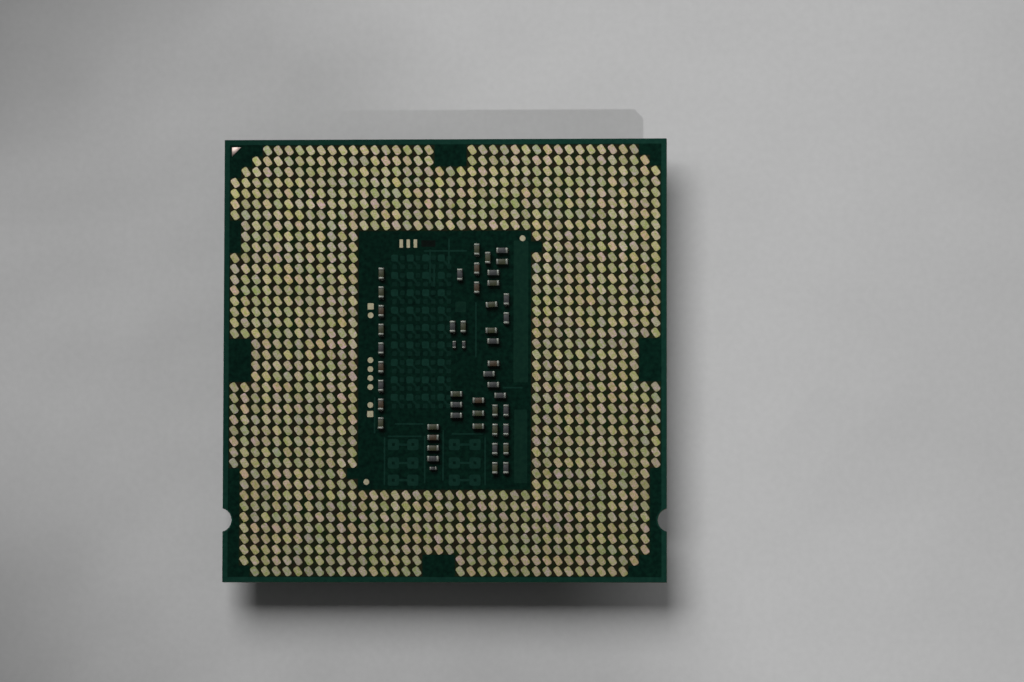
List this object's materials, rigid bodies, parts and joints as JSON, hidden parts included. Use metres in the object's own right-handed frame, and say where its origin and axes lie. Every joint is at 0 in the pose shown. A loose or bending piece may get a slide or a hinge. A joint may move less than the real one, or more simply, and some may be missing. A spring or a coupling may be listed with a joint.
{
  "type": "land grid processor",
  "caption": "Square land-grid processor package: laminated substrate with gold contact lands and chip capacitors on one side, stepped metal lid over the die on the other.",
  "frame": {"origin": "centre of the lid's flat cooler face, which rests on the table when the package lies lands up", "axes": "+Z from the cooler face towards the contact lands; +Y towards the edge whose left corner carries the pin-one mark, seen from the land side; the two edge notches lie towards -Y; +X to the right in that view"},
  "size_m": [0.0376, 0.0376, 0.0048],
  "materials": {
    "nickel_plate": "satin nickel plate over copper",
    "sealant": "matt black adhesive",
    "thermal_paste": "grey thermal paste",
    "silicon": "polished silicon",
    "underfill_resin": "dark epoxy",
    "laminate": "sawn glass-epoxy laminate",
    "solder_mask": "very dark green solder mask over laminate",
    "gold_plate": "matt gold plate over copper",
    "grey_chip": "fired ceramic with tin-plated ends",
    "brown_chip": "fired ceramic with tin-plated ends"
  },
  "bodies": {
    "root": {"heat_spreader": "nickel_plate", "lid_sealant": "sealant", "thermal_interface": "thermal_paste", "die": "silicon", "underfill": "underfill_resin", "die_side_buildup": "solder_mask", "core_laminate": "laminate", "land_side_buildup": "solder_mask", "land_field": "gold_plate", "pin_one_mark": "gold_plate", "capacitor_west_1": "grey_chip", "capacitor_west_2": "grey_chip", "capacitor_west_3": "grey_chip", "capacitor_west_4": "grey_chip", "capacitor_west_5": "grey_chip", "capacitor_west_6": "grey_chip", "capacitor_west_7": "grey_chip", "capacitor_west_8": "grey_chip", "capacitor_west_9": "grey_chip", "capacitor_north_1": "brown_chip", "capacitor_north_2": "brown_chip", "capacitor_north_3": "brown_chip", "capacitor_north_inner_1": "grey_chip", "capacitor_north_inner_2": "grey_chip", "capacitor_northeast_back_1": "grey_chip", "capacitor_northeast_back_2": "grey_chip", "capacitor_northeast_1": "grey_chip", "capacitor_northeast_2": "grey_chip", "capacitor_east_back_1": "grey_chip", "capacitor_east_back_2": "grey_chip", "capacitor_turned_1": "grey_chip", "capacitor_centre_back_1": "grey_chip", "capacitor_centre_back_2": "grey_chip", "capacitor_centre_small_1": "grey_chip", "capacitor_centre_small_2": "grey_chip", "capacitor_east_1": "grey_chip", "capacitor_east_2": "grey_chip", "capacitor_east_front_1": "grey_chip", "capacitor_east_front_2": "grey_chip", "capacitor_east_foot_1": "grey_chip", "capacitor_east_foot_2": "grey_chip", "capacitor_centre_1": "grey_chip", "capacitor_centre_2": "grey_chip", "capacitor_centre_3": "grey_chip", "capacitor_centre_east_1": "grey_chip", "capacitor_centre_east_2": "grey_chip", "capacitor_centre_east_3": "grey_chip", "capacitor_southeast_1": "grey_chip", "capacitor_southeast_2": "grey_chip", "capacitor_southeast_3": "grey_chip", "capacitor_southeast_4": "grey_chip", "capacitor_southeast_edge_1": "grey_chip", "capacitor_southeast_edge_2": "grey_chip", "capacitor_southeast_edge_3": "grey_chip", "capacitor_southeast_edge_4": "grey_chip", "capacitor_south_1": "grey_chip", "capacitor_south_2": "grey_chip", "capacitor_south_3": "grey_chip", "capacitor_south_4": "grey_chip", "capacitor_south_small_1": "grey_chip"}
  },
  "joints": []
}
